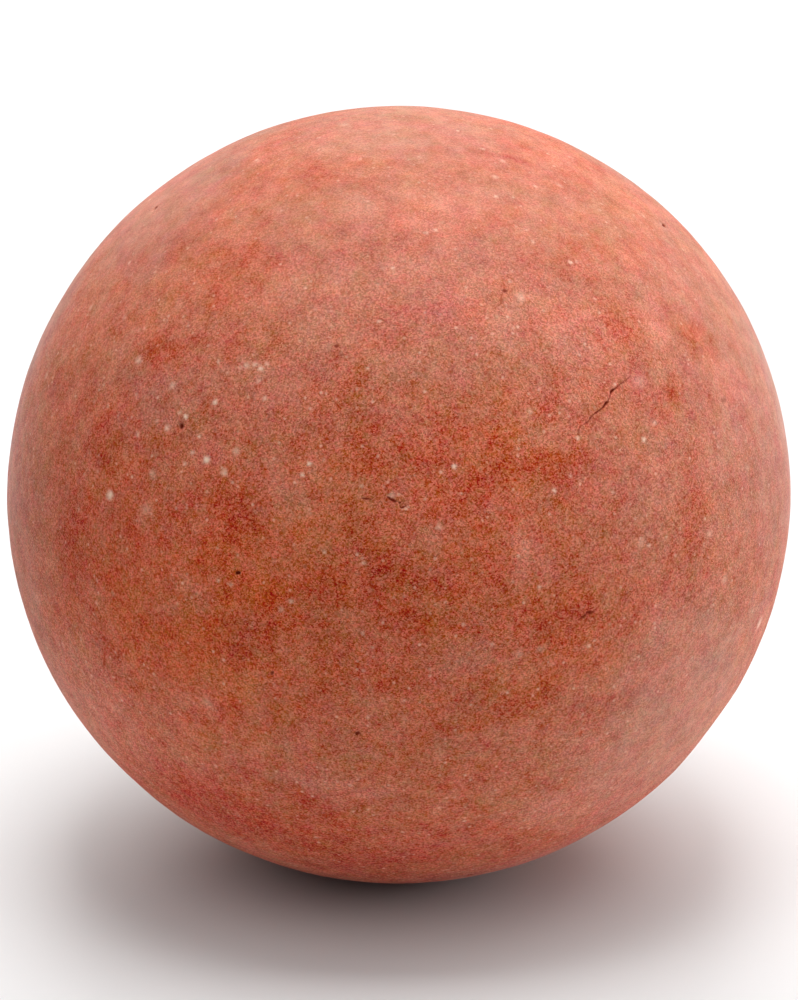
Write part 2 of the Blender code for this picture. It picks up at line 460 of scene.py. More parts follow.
# How far the edges of the patches wander, and over what size, in radii, and a seed. The edges of the warm
# places, the veils and the calm places wander so many times as far.
WANDERS = (
    (0.03, 0.05, 21),
    (0.015, 0.018, 24),
)
BROAD_WANDER = 2
# The chance numbers repeat after so many sizes of a wave.
CLOUD_CORNERS = 64
# The ball's far side counts as this squared distance, in half widths, from a pit or a patch.
FAR_SIDE = 9.0
# A rubbed flat and the foot cut only where the cosine of the angle to their middle is over this.
NEAR_SIDE = 0.5
# The mottling, from the finest layer to the broadest: name, kind, grains or waves in a millimetre, and how
# much of the paler, olive and rose tints it adds. Cells have one tone each, and noise is smooth. Dust evens
# out the sand, but not the clouds.
SAND_LAYERS = (
    ("fine sand", "cells", 30.0, (0.50, 0.04, 0.014)),
    ("sand", "cells", 13.0, (0.03, 0.07, 0.021)),
    ("speckle", "noise", 5.0, (0.05, 0.11, 0.033)),
)
CLOUD_LAYERS = (
    ("mottle", "noise", 2.2, (0.30, 0.09, 0.036)),
    ("clouds", "noise", 0.9, (0.19, 0.09, 0.030)),
    ("drifts", "noise", 0.4, (0.09, 0.05, 0.018)),
)

# Pale specks: cells in a millimetre, share of them that hold one, and strength of the palest.
SPECK_CELLS = 8.0
SPECK_SHARE = 0.08
SPECK_STRENGTH = 0.55
# A speck is full up to the first share of its cell and gone at the second.
SPECK_EDGE = (0.1, 0.5)
STONE_IOR = 1.5

# The floor: radius, depth below the foot, rings and spokes, and the innermost ring as a share of the radius.
FLOOR_RADIUS = 1.5
FLOOR_DROP = 0.00002
FLOOR_RINGS = 12
FLOOR_SPOKES = 64
FLOOR_HUB = 0.02
FLOOR_ROUGHNESS = 0.9
# How far from the stone's foot the floor starts to glow and glows in full, in millimetres, with painted
# shadow nearer.
GLOW_AND_SHADOW_REACH = (2.0, 10.0)

# Nearer than this, the camera sees nothing.
CLIP_START = 0.01

# Soft square lights, all of one width and at one distance: name, turn, rise and brightness.
PANEL_WIDTH = 0.20
PANEL_DISTANCE = 0.45
PANELS = (
    ("overhead", 0, 88, 13.7),
    ("back_top", 180, 60, 6.5),
    ("back", 180, 30, 5.7),
    ("back_right", 120, 6, 5.0),
    ("right", 90, 6, 5.9),
    ("left", -90, 4, 0.9),
    ("right_top", 90, 60, 2.3),
)


def towards(turn, rise):
    """Unit vectors from the ball's middle, from turns and rises in degrees:
    (sin turn cos rise, -cos turn cos rise, sin rise)."""
    turn = np.radians(turn)
    rise = np.radians(rise)
    return np.stack([np.sin(turn) * np.cos(rise), -np.cos(turn) * np.cos(rise), np.sin(rise)], axis=-1)


def smooth_step(share):
    """0 below 0, 1 above 1, and 3 t^2 - 2 t^3 between."""
    share = np.clip(share, 0.0, 1.0)
    return share**2 * (3 - 2 * share)


def cloud(points, size, seed):
    """Smooth chance values from -1 to 1 at points in space. Cubes of the given size have a chance number
    at each corner. The eight around a point are blended with the smooth step of its place in the cube."""
    corners = np.random.default_rng(seed).uniform(-1, 1, (CLOUD_CORNERS,) * 3)
    place = points / size
    low = np.floor(place).astype(int)
    share = smooth_step(place - low)
    total = np.zeros(len(points))
    for dx in (0, 1):
        for dy in (0, 1):
            for dz in (0, 1):
                step = np.array((dx, dy, dz))
                weight = np.abs(1 - step - share).prod(axis=1)
                x, y, z = ((low + step) % CLOUD_CORNERS).T
                total += weight * corners[x, y, z]
    return total


def ball_grid(cells):
    """The points and faces of a closed ball of four-sided cells. Each side of a cube has a grid in a and b
    from -1 to 1. The point (tan(45 a), tan(45 b), 1), in degrees, is turned to its side and shortened to
    length 1, which makes the cells nearly alike. A point on an edge of the cube is made once."""
    steps = np.arange(cells + 1)
    first, second = np.meshgrid(steps, steps, indexing="ij")
    sides = []
    faces = []
    corner = np.arange((cells + 1) ** 2).reshape(cells + 1, cells + 1)
    loop = np.stack([corner[:-1, :-1], corner[1:, :-1], corner[1:, 1:], corner[:-1, 1:]], axis=-1)
    loop = loop.reshape(-1, 4)
    for axis in range(3):
        for end in (0, cells):
            side = np.stack([np.full_like(first, end), first, second], axis=-1)
            faces.append((loop if end else loop[:, ::-1]) + len(sides) * (cells + 1) ** 2)
            sides.append(np.roll(side, axis, axis=-1).reshape(-1, 3))
    lattice, index = np.unique(np.concatenate(sides), axis=0, return_inverse=True)
    faces = index.reshape(-1)[np.concatenate(faces)]
    points = np.tan((2 * lattice / cells - 1) * math.pi / 4)
    return points / np.linalg.norm(points, axis=1, keepdims=True), faces


def nearest_on_path(points, path):
    """For each point the nearest point of a path, how far along the path that lies, counted in path points,
    and how far away. From a to b it is a + t (b - a), t = (p - a).(b - a) / |b - a|^2 kept to 0..1."""
    nearest = np.repeat(path[:1], len(points), axis=0)
    along = np.zeros(len(points))
    best = np.linalg.norm(points - nearest, axis=1)
    for i, (start, end) in enumerate(zip(path, path[1:])):
        span = end - start
        share = np.clip((points - start) @ span / (span @ span), 0, 1)
        candidate = start + share[:, None] * span
        distance = np.linalg.norm(points - candidate, axis=1)
        closer = distance < best
        best[closer] = distance[closer]
        nearest[closer] = candidate[closer]
        along[closer] = i + share[closer]
    return nearest, along, best


def draw_together(points, path, reach, pull):
    """Crowds the points of the unit ball around a path, or around one place. A point at distance s moves
    towards the nearest point of the path by the share pull * exp(-(s / reach)^2) of s."""
    nearest, _, distance = nearest_on_path(points, path)
    share = pull * np.exp(-((distance / reach) ** 2))
    moved = points + (nearest - points) * share[:, None]
    return moved / np.linalg.norm(moved, axis=1, keepdims=True)


def crowd_around_marks(points, radius):
    """Finer cells at the cracks and the pits, which are narrower than an even cell. The points around a pit
    are drawn to it. Those around a group of cracks are drawn to its middle, and then to each crack."""
    for turn, rise, _, length, *_ in PITS:
        points = draw_together(points, towards(turn, rise)[None], PIT_REACH * length / radius, PIT_PULL)
    for group in CRACK_GROUPS:
        places = towards(*np.concatenate(group)[:, :2].T)
        middle = places.mean(axis=0, keepdims=True)
        middle /= np.linalg.norm(middle)
        reach = np.linalg.norm(places - middle, axis=1).max()
        points = draw_together(points, middle, GROUP_REACH * reach + GROUP_MARGIN / radius, GROUP_PULL)
        for route in group:
            path = towards(*np.array(route)[:, :2].T)
            points = draw_together(points, path, CRACK_REACH / radius, CRACK_PULL)
    return points


def hump(points, turn, rise, half_width):
    """exp(-(angle / half width)^2), with the angle from a place on the ball."""
    angle = np.degrees(np.arccos(np.clip(points @ towards(turn, rise), -1, 1)))
    return np.exp(-((angle / half_width) ** 2))


def softened_minimum(first, second, softness):
    """The smaller of two distances, less (softness - difference)^2 / (4 softness) where they are close."""
    nearness = np.maximum(softness - np.abs(first - second), 0.0) / softness
    return np.minimum(first, second) - nearness**2 * softness / 4


def round_form(points, radius):
    """The distance from the middle to the skin: the radius, plus each swelling's height times its hump, less
    each dent's depth times its hump, cut by the plane radius - depth of each rubbed flat."""
    skin = np.full(len(points), radius)
    for turn, rise, half_width, height in SWELLINGS:
        skin += height * hump(points, turn, rise, half_width)
    for turn, rise, half_width, depth in DENTS:
        skin -= depth * hump(points, turn, rise, half_width)
    for turn, rise, depth in FLATS:
        slope = points @ towards(turn, rise)
        facing = slope > NEAR_SIDE
        plane = (radius - depth) / slope[facing]
        skin[facing] = softened_minimum(skin[facing], plane, FLAT_SOFTNESS)
    return skin


def crack_depth(points, route, radius, ragged):
    """Depth below the skin: the crack's own up to its rim, none past the rim, and a smooth step on it. Depth
    and width are read along the route in straight lines between its points."""
    turn, rise, width, depth, _ = np.array(route).T
    _, along, distance = nearest_on_path(points, towards(turn, rise))
    counts = np.arange(len(route))
    share = distance * radius / np.interp(along, counts, width / 2) + ragged
    inner, outer = CRACK_RIM
    return np.interp(along, counts, depth) * smooth_step((outer - share) / (outer - inner))


def directions(turn, rise, lean=0.0):
    """The outward, sideways and upward directions at a place, the last two turned by the lean."""
    outward = towards(turn, rise)
    right = np.cross((0, 0, 1), outward)
    right /= np.linalg.norm(right)
    up = np.cross(outward, right)
    lean = math.radians(lean)
    across = right * math.cos(lean) + up * math.sin(lean)
    return outward, across, up * math.cos(lean) - right * math.sin(lean)


def pit_depth(points, pit, radius, ragged):
    """Depth below the skin of an egg-shaped bowl: depth * (1 - x^2 - y^2)^0.6, with x and y in half lengths
    and half widths from its middle, along its lean and across it."""
    turn, rise, lean, length, width, depth, _ = pit
    outward, along, across = directions(turn, rise, lean)
    x = points @ along * radius / (length / 2)
    y = points @ across * radius / (width / 2)
    reach = np.where(points @ outward > 0, x**2 + y**2, FAR_SIDE) * (1 + ragged)
    return depth * np.clip(1 - reach, 0, 1) ** 0.6


def dark_marks(radius):
    """The straight pieces that make up the cracks, and the pits as short wide ones: start and end on the
    unit ball, then the widths, in radii, and the darknesses there."""
    starts = []
    ends = []
    sizes = []
    for route in CRACKS:
        for start, end in zip(route, route[1:]):
            starts.append(towards(*start[:2]))
            ends.append(towards(*end[:2]))
            sizes.append((start[2] / radius, end[2] / radius, start[4], end[4]))
    for turn, rise, lean, length, width, _, darkness in PITS:
        outward, along, _ = directions(turn, rise, lean)
        half = along * max(length - width, LEAST_LENGTH * width) / 2 / radius
        starts.append(outward - half)
        ends.append(outward + half)
        sizes.append((width / radius, width / radius, darkness, darkness))
    return np.array(starts), np.array(ends), np.array(sizes)


def smallest(distances):
    """Which of several arrays of distances is the smallest at each place."""
    best, which = np.inf, 0
    for number, distance in enumerate(distances):
        which = np.where(distance < best, number, which)
        best = np.minimum(distance, best)
    return which


def nearest_mark(places, radius):
    """For each place on the unit ball, the start, end, widths and darknesses of the nearest dark mark."""
    starts, ends, sizes = dark_marks(radius)
    pairs = np.stack([starts, ends], axis=1)
    which = smallest(nearest_on_path(places, pair)[2] for pair in pairs)
    return starts[which], ends[which], sizes[which]


def patch_strength(points, patches, wander):
    """The strongest patch at each point. A patch has strength * exp(-(x^2 + y^2)^1.5), with x and y in half
    widths and half heights from its middle. The points wander a little, so that its edge is ragged."""
    moved = points + wander
    moved /= np.linalg.norm(moved, axis=1, keepdims=True)
    total = np.zeros(len(points))
    for turn, rise, half_width, half_height, strength in patches:
        outward, right, up = directions(turn, rise)
        x = np.degrees(moved @ right) / half_width
        y = np.degrees(moved @ up) / half_height
        reach = np.where(moved @ outward > 0, x**2 + y**2, FAR_SIDE)
        total = np.maximum(total, strength * np.exp(-(reach**1.5)))
    return total


def thrown_grains():
    """Grains thrown by chance, as turn, rise, width and strength, pale above 0 and dark below. Some lie in
    clusters on the sides that are not seen, and many faint ones lie all over the ball. The sine of an even
    rise is thrown, so that they are as close together at the poles as at the middle."""
    chance = np.random.default_rng(GRAIN_SEED)
    parts = []
    for turn, rise, spread, count in GRAIN_CLUSTERS:
        parts.append((
            turn + chance.normal(0, spread, count) / math.cos(math.radians(rise)),
            rise + chance.normal(0, spread, count),
            chance.uniform(*CLUSTER_WIDTHS, count),
            chance.uniform(*CLUSTER_STRENGTHS, count),
        ))
    for count, widths, strengths in LOOSE_GRAINS:
        parts.append((
            chance.uniform(-180, 180, count),
            np.degrees(np.arcsin(chance.uniform(-1, 1, count))),
            chance.uniform(*widths, count),
            chance.uniform(*strengths, count),
        ))
    return np.concatenate([np.stack(part, axis=1) for part in parts])


def nearest_grain(places):
    """For each place on the unit ball, the middle, width and strength of the grain that is nearest, counted
    in its own widths."""
    dark = np.array(DARK_GRAINS) * (1, 1, 1, -1)
    grains = np.concatenate([PALE_GRAINS, dark, thrown_grains()])
    turns, rises, widths, strengths = grains.T
    middles = towards(turns, rises)
    pairs = zip(middles, widths)
    which = smallest(np.linalg.norm(places - middle, axis=1) / width for middle, width in pairs)
    return middles[which], widths[which], strengths[which]


def height_of_middle(shape):
    """How high the ball's middle lies over its flat foot: sqrt(radius^2 - radius of the foot^2)."""
    return math.sqrt((shape.diameter / 2) ** 2 - (shape.foot_diameter / 2) ** 2)


def skin_at(points, shape):
    """The distance from the middle to the skin: the round form with low waves, less the depth of the cracks
    and the pits, cut by the level plane of the foot."""
    radius = shape.diameter / 2
    skin = round_form(points, radius)
    for share, size, seed in WAVES:
        skin += shape.unevenness * share * cloud(points, size, seed)
    ragged = cloud(points, RAGGED_SIZE, RAGGED_SEED)
    depth = np.zeros(len(points))
    for route in CRACKS:
        depth = np.maximum(depth, crack_depth(points, route, radius, CRACK_RAGGEDNESS * ragged))
    for pit in PITS:
        depth = np.maximum(depth, pit_depth(points, pit, radius, PIT_RAGGEDNESS * ragged))
    skin -= depth
    down = -points[:, 2]
    below = down > NEAR_SIDE
    skin[below] = np.minimum(skin[below], height_of_middle(shape) / down[below])
    return skin


def patches_at(points):
    """The strength of each kind of patch at each point."""
    wander = np.zeros_like(points)
    for reach, size, seed in WANDERS:
        wander += reach * np.stack([cloud(points, size, seed + axis) for axis in range(3)], axis=1)
    return {
        "warm": patch_strength(points, WARM_AND_LIT_PLACES, BROAD_WANDER * wander),
        "deep": patch_strength(points, DEEP_AND_SHADED_PATCHES, wander),
        "pale": patch_strength(points, PALE_AND_LIT_PATCHES, wander),
        "veil": patch_strength(points, DUST_AND_REFLECTION_VEILS, BROAD_WANDER * wander),
        "calm": patch_strength(points, CALM_PLACES, BROAD_WANDER * wander),
    }


def marks_at(middles, radius):
    """What each cell needs to draw its nearest grain and its nearest dark mark, as real lengths."""
    grain, width, strength = nearest_grain(middles)
    start, end, sizes = nearest_mark(middles, radius)
    return {
        "grain_place": grain * radius,
        "grain_width": width,
        "grain_strength": strength,
        "mark_start": start * radius,
        "mark_end": end * radius,
        "width_at_start": sizes[:, 0] * radius,
        "width_at_end": sizes[:, 1] * radius,
        "dark_at_start": sizes[:, 2],
        "dark_at_end": sizes[:, 3],
    }


def make_stone(shape):
    """The stone's fine skin on its flat foot. Its points carry the strengths of the patches, and its cells
    the nearest grain and dark mark."""
    radius = shape.diameter / 2
    points, faces = ball_grid(shape.cells)
    points = crowd_around_marks(points, radius)
    skin = points * skin_at(points, shape)[:, None] + (0, 0, height_of_middle(shape))
    stone = mesh_piece("stone", skin, faces, patches_at(points))
    for name, values in marks_at(points[faces].mean(axis=1), radius).items():
        note_on_cells(stone, name, values)
    return stone


def note_on_cells(piece, name, values):
    """Keeps a number or a place with each cell of a piece, for its material."""
    kind, key = ("FLOAT", "value") if values.ndim == 1 else ("FLOAT_VECTOR", "vector")
    made = piece.data.attributes.new(name, kind, "FACE")
    made.data.foreach_set(key, values.astype(np.float32).ravel())


def placed(name, data):
    """An object in the scene with this mesh, camera or light."""
    thing = bpy.data.objects.new(name, data)
    bpy.context.scene.collection.objects.link(thing)
    return thing


def mesh_piece(name, points, faces, fields=None):
    """An object from arrays of points and four-sided faces, with a number at each point for each field."""
    mesh = bpy.data.meshes.new(name)
    mesh.vertices.add(len(points))
    mesh.vertices.foreach_set("co", points.astype(np.float32).ravel())
    mesh.loops.add(faces.size)
    mesh.loops.foreach_set("vertex_index", faces.astype(np.int32).ravel())
    mesh.polygons.add(len(faces))
    mesh.polygons.foreach_set("loop_start", np.arange(0, faces.size, 4, dtype=np.int32))
    mesh.update(calc_edges=True)
    mesh.validate()
    mesh.shade_smooth()
    for field, values in (fields or {}).items():
        mesh.attributes.new(field, "FLOAT", "POINT").data.foreach_set("value", values.astype(np.float32))
    return placed(name, mesh)


class Wiring:
    """Adds nodes to a material, one column after another, and joins them."""

    rows = 5
    spacing = (220, 200)

    def __init__(self, material):
        material.use_nodes = True
        self.tree = material.node_tree
        self.shader = self.tree.nodes["Principled BSDF"]
        self.count = 0

    def add(self, kind, label="", **settings):
        """A new node of a kind, with its settings."""
        node = self.tree.nodes.new(kind)
        node.label = label
        for name, value in settings.items():
            setattr(node, name, value)
        column, row = divmod(self.count, self.rows)
        node.location = (-self.spacing[0] * (column + 1), -self.spacing[1] * row)
        self.count += 1
        return node

    def coat(self, values):
        """Sets the shader's own sockets to constants."""
        for name, value in values.items():
            self.shader.inputs[name].default_value = value

    def put(self, socket, value):
        """Joins an output to a socket, or sets the socket to a constant."""
        if isinstance(value, bpy.types.NodeSocket):
            self.tree.links.new(value, socket)
        else:
            socket.default_value = value

    def math(self, operation, *values):
        """A number worked out from others."""
        node = self.add("ShaderNodeMath", operation=operation)
        for socket, given in zip(node.inputs, values):
            self.put(socket, given)
        return node.outputs[0]

    def vector(self, operation, *values):
        """A vector worked out from others, or a number where it is a distance or a dot product."""
        node = self.add("ShaderNodeVectorMath", operation=operation)
        for socket, given in zip(node.inputs, values):
            self.put(socket, given)
        return node.outputs["Value" if operation in ("DISTANCE", "DOT_PRODUCT") else "Vector"]

    def scaled(self, vector, factor):
        """A vector times a number."""
        node = self.add("ShaderNodeVectorMath", operation="SCALE")
        self.put(node.inputs[0], vector)
        self.put(node.inputs["Scale"], factor)
        return node.outputs["Vector"]

    def millimetres(self, place):
        """A place in metres made one in millimetres."""
        return self.scaled(place, 1 / MM)

    def parts(self, vector):
        """The three numbers of a vector."""
        node = self.add("ShaderNodeSeparateXYZ")
        self.put(node.inputs[0], vector)
        return node.outputs

    def between(self, share, first, second):
        """The number at this share of the way from the first to the second."""
        step = self.math("SUBTRACT", second, first)
        return self.math("MULTIPLY_ADD", share, step, first)

    def pattern(self, kind, place, per_mm, label):
        """A pattern in space that repeats about so many times in a millimetre."""
        node = self.add(kind, label)
        self.put(node.inputs["Vector"], place)
        node.inputs["Scale"].default_value = per_mm
        return node

    def noises(self, place, per_mm, label):
        """Three independent smooth noises from 0 to 1, with a mean of 0.5, as one vector. Each has a second
        wave, half as long and half as strong."""
        node = self.pattern("ShaderNodeTexNoise", place, per_mm, label)
        node.inputs["Detail"].default_value = 1.0
        return node.outputs["Color"]

    def cells(self, place, per_mm, label):
        """Three independent numbers from 0 to 1, with a mean of 0.5, the same all through each cell."""
        return self.pattern("ShaderNodeTexVoronoi", place, per_mm, label).outputs["Color"]

    def mix(self, share, first, second):
        """The colour at this share of the way from the first to the second."""
        node = self.add("ShaderNodeMix", data_type="RGBA")
        self.put(node.inputs["Factor"], share)
        self.put(node.inputs["A"], first)
        self.put(node.inputs["B"], second)
        return node.outputs["Result"]

    def range(self, value, low, high):
        """A smooth step from 0 at low to 1 at high."""
        node = self.add("ShaderNodeMapRange", interpolation_type="SMOOTHSTEP")
        for name, given in zip(("Value", "From Min", "From Max"), (value, low, high)):
            self.put(node.inputs[name], given)
        return node.outputs["Result"]

    def field(self, name, output="Fac"):
        """What the skin's points or cells carry under this name."""
        return self.add("ShaderNodeAttribute", name, attribute_name=name).outputs[output]


def mottling(w, place, layers):
    """The sum of the layers: three chance numbers, less 0.5, times the layer's amounts of three tints."""
    kinds = {"noise": w.noises, "cells": w.cells}
    total = tuple(-0.5 * sum(amounts[tint] for *_, amounts in layers) for tint in range(3))
    for name, kind, per_mm, amounts in layers:
        total = w.vector("MULTIPLY_ADD", kinds[kind](place, per_mm, name), amounts, total)
    return total


def specks(w, place):
    """Share of pale speck. Space is parted into cells, each with chance numbers. Where the first is high,
    the cell has a round spot with a soft edge, as strong as the second number."""
    node = w.pattern("ShaderNodeTexVoronoi", place, SPECK_CELLS, "specks")
    first, second, _ = w.parts(node.outputs["Color"])
    chosen = w.math("GREATER_THAN", first, 1 - SPECK_SHARE)
    full, gone = SPECK_EDGE
    spot = w.math("MULTIPLY", chosen, w.range(node.outputs["Distance"], gone, full))
    return w.math("MULTIPLY", spot, w.math("MULTIPLY", second, SPECK_STRENGTH))


def wandered(w, place, per_mm, reach, label):
    """A place moved at random by up to the reach, in millimetres, so that what is drawn there is ragged."""
    step = w.vector("MULTIPLY_ADD", w.noises(place, per_mm, label), (2 * reach,) * 3, (-reach,) * 3)
    return w.vector("ADD", place, step)


def grain_spots(w, place):
    """Shares of pale and of dark grain. From its middle outwards a grain fades as a smooth step to a power,
    so that it has a bright core and a faint hem."""
    moved = wandered(w, place, GRAIN_WAVES, GRAIN_WANDER, "ragged grains")
    distance = w.vector("DISTANCE", moved, w.millimetres(w.field("grain_place", "Vector")))
    widths = w.math("DIVIDE", w.math("MULTIPLY", distance, MM), w.field("grain_width"))
    share = w.math("POWER", w.range(widths, GRAIN_REACH, 0.0), GRAIN_FADE)
    signed = w.math("MULTIPLY", share, w.field("grain_strength"))
    return w.math("MAXIMUM", signed, 0.0), w.math("MAXIMUM", w.math("MULTIPLY", signed, -1.0), 0.0)


def hollows(w, place):
    """Darkness of the cracks and the pits, which is painted shade inside them. The nearest piece of a mark
    runs from a to b. The share t = (p - a).(b - a) / |b - a|^2, kept to 0..1, gives the point a + t (b - a)
    and the width and darkness there. The dark fades over the mark's edge in a smooth step."""
    moved = wandered(w, place, MARK_WAVES, MARK_WANDER, "ragged marks")
    start = w.millimetres(w.field("mark_start", "Vector"))
    span = w.vector("SUBTRACT", w.millimetres(w.field("mark_end", "Vector")), start)
    along = w.vector("DOT_PRODUCT", w.vector("SUBTRACT", moved, start), span)
    share = w.math("DIVIDE", along, w.vector("DOT_PRODUCT", span, span))
    share = w.math("MINIMUM", w.math("MAXIMUM", share, 0.0), 1.0)
    distance = w.vector("DISTANCE", moved, w.vector("ADD", start, w.scaled(span, share)))
    width = w.between(share, w.field("width_at_start"), w.field("width_at_end"))
    widths = w.math("DIVIDE", w.math("MULTIPLY", distance, MM), width)
    darkness = w.between(share, w.field("dark_at_start"), w.field("dark_at_end"))
    full, gone = MARK_EDGE
    return w.math("MULTIPLY", w.range(widths, gone, full), darkness)


def stone_colour(w, place, on_ball, bare, finish):
    """A brick-red body with warm, deep and pale patches and veils of dust, partly painted light, shade and
    reflection, then the mottling down to sand, the pale and dark grains, and the painted shade of the
    hollows."""
    # Redder places, partly painted light on the left.
    colour = w.mix(w.field("warm"), finish.body_colour, finish.warm_and_lit_colour)
    # Veils of dust and painted reflection.
    colour = w.mix(w.field("veil"), colour, finish.dust_and_reflection_colour)
    # Deep red, and painted shade towards the bottom.
    colour = w.mix(w.field("deep"), colour, finish.deep_and_shade_colour)
    # Pale dust, and painted light at the rims.
    colour = w.mix(w.math("MULTIPLY", w.field("pale"), finish.pale_share), colour, finish.pale_and_lit_colour)
    sand = w.scaled(mottling(w, place, SAND_LAYERS), bare)
    amounts = w.parts(w.vector("ADD", sand, mottling(w, place, CLOUD_LAYERS)))
    for tint, amount in zip((finish.paler_tint, finish.olive_tint, finish.rose_tint), amounts):
        colour = w.vector("MULTIPLY_ADD", amount, tint, colour)
    pale, dark = grain_spots(w, on_ball)
    pale = w.math("MAXIMUM", pale, w.math("MULTIPLY", specks(w, place), bare))
    colour = w.mix(pale, colour, finish.grain_colour)
    # The hollows are darkened with painted shade.
    return w.mix(w.math("MAXIMUM", dark, hollows(w, on_ball)), colour, finish.hollow_shade_colour)


def sandy_relief(w, place, bare, finish):
    """The slope of the skin between the finest grains of sand, each of its own height."""
    bump = w.add("ShaderNodeBump", "sandy relief")
    bump.inputs["Strength"].default_value = 1.0
    bump.inputs["Distance"].default_value = finish.grain_height
    _, _, grains_per_mm, _ = SAND_LAYERS[0]
    height = w.parts(w.cells(place, grains_per_mm, "height of the sand"))[0]
    w.put(bump.inputs["Height"], w.math("MULTIPLY", height, bare))
    return bump.outputs["Normal"]


def stone_material(shape, finish):
    """Dry pressed stone. Its mottling is in millimetres from the middle of the foot. Its grains and hollows
    are drawn on the ball itself: the place less the ball's middle, brought to the ball's radius. Sand is
    bare by 1 less what the dust evens out."""
    material = bpy.data.materials.new("stone")
    w = Wiring(material)
    place = w.millimetres(w.add("ShaderNodeTexCoord", "place on the stone").outputs["Object"])
    outward = w.vector("SUBTRACT", place, (0, 0, height_of_middle(shape) / MM))
    on_ball = w.scaled(w.vector("NORMALIZE", outward), shape.diameter / 2 / MM)
    calm = w.math("ADD", w.math("MULTIPLY", w.field("veil"), finish.veil_calm), w.field("calm"))
    bare = w.math("SUBTRACT", 1.0, calm)
    w.put(w.shader.inputs["Base Color"], stone_colour(w, place, on_ball, bare, finish))
    w.put(w.shader.inputs["Normal"], sandy_relief(w, place, bare, finish))
    w.coat({
        "Roughness": finish.roughness,
        "Metallic": 0.0,
        "IOR": STONE_IOR,
        "Specular IOR Level": finish.gloss,
        "Sheen Weight": finish.dust_sheen,
        "Sheen Roughness": finish.sheen_roughness,
    })
    return material


def floor_material(stage):
    """A plain pale sheet with a little light from below, which fades out close to the stone's foot as a
    painted shadow.
    """
    material = bpy.data.materials.new("floor")
    w = Wiring(material)
    w.coat({
        "Base Color": stage.floor_colour,
        "Roughness": FLOOR_ROUGHNESS,
        "Emission Color": WHITE,
    })
    place = w.millimetres(w.add("ShaderNodeTexCoord", "place on the floor").outputs["Object"])
    # The glow fades near the foot: painted shadow on the floor.
    away = w.range(w.vector("DISTANCE", place, (0, 0, 0)), *GLOW_AND_SHADOW_REACH)
    w.put(w.shader.inputs["Emission Strength"], w.math("MULTIPLY", away, stage.floor_glow))
    return material


def colour_setting(name, description, default):
    return bpy.props.FloatVectorProperty(
        name=name, description=description, default=default, size=4, subtype="COLOR", min=0, max=1
    )


def tint_setting(name, description, default):
    return bpy.props.FloatVectorProperty(name=name, description=description, default=default, size=3)


def number_setting(name, description, default, **more):
    return bpy.props.FloatProperty(name=name, description=description, default=default, **more)


def length_setting(name, description, default):
    return number_setting(name, description, default, unit="LENGTH")


class StoneShape(bpy.types.PropertyGroup):
    """Sizes of the stone"""

    diameter: length_setting("Diameter", "Width of the ball across its middle", DIAMETER)
    foot_diameter: length_setting("Flat spot", "Width of the flat spot that it rests on", FOOT_DIAMETER)
    unevenness: length_setting("Unevenness", "Height of the low waves of the skin", 0.000012)
    cells: bpy.props.IntProperty(
        name="Cells", description="Cells along each side of the six grids of the skin", default=CELLS, min=8
    )


class StoneFinish(bpy.types.PropertyGroup):
    """Colours and finish of the stone"""

    body_colour: colour_setting("Body", "Brick-red body of the stone", (0.62, 0.142, 0.065, 1))
    # The warm colour is also painted light on the left of the ball.
    warm_and_lit_colour: colour_setting("Warm places", "Where the body was fired warmer", (0.70, 0.131, 0.039, 1))
    # The deep colour is also painted shade, low on the ball.
    deep_and_shade_colour: colour_setting("Deep patches", "Deeper red, with less dust", (0.53, 0.085, 0.034, 1))
    # The pale colour is also painted light where the patches are broad.
    pale_and_lit_colour: colour_setting("Pale patches", "Dust that lies thick", (0.68, 0.233, 0.158, 1))
    # The dust colour is also painted reflection at the rims.
    dust_and_reflection_colour: colour_setting("Dust", "Pale dust on the skin", (0.50, 0.226, 0.162, 1))
    grain_colour: colour_setting("Pale grains", "Pale mineral grains", (1.0, 0.73, 0.56, 1))
    # The hollow colour is painted shade inside the cracks and the pits.
    hollow_shade_colour: colour_setting("Hollows", "Inside of the cracks and the pits", (0.20, 0.013, 0.001, 1))
    paler_tint: tint_setting("Paler", "What makes the skin paler", (0.86, 0.41, 0.31))
    olive_tint: tint_setting("Olive", "What turns the red towards olive", (-0.51, 0.73, 0.45))
    rose_tint: tint_setting("Rose", "What turns the red towards rose", (-0.03, -0.56, 0.83))
    pale_share: number_setting("Dust share", "Strength of the pale patches", 0.75)
    veil_calm: number_setting("Calm of the dust", "How far the veils of dust even out the sand", 0.42)
    roughness: number_setting("Roughness", "Roughness of the skin", 0.75)
    gloss: number_setting("Gloss", "Strength of the reflections", 0.12)
    dust_sheen: number_setting("Sheen", "Sheen of the dust at the rims", 0.16)
    sheen_roughness: number_setting("Sheen roughness", "How far the sheen spreads from the rims", 0.3)
    grain_height: length_setting("Grain height", "Height of the sandy relief", 0.000004)


class StageSettings(bpy.types.PropertyGroup):
    """Camera, floor and light"""

    view_rise: number_setting("View rise", "How far it looks down", math.radians(20), subtype="ANGLE")
    lens: number_setting("Lens", "Focal length of the camera", 200, unit="CAMERA")
    view_distance: length_setting("View distance", "From the camera to the ball's middle", 0.14285)
    view_drop: length_setting("View drop", "How far below the middle the camera aims", 0.000136)
    floor_colour: colour_setting("Floor", "Plain pale floor", (0.5, 0.5, 0.5, 1))
    floor_glow: number_setting("Floor glow", "Light that comes through the floor from below", 0.30)
    surroundings: number_setting("Surroundings", "Light from all around", 0.0)


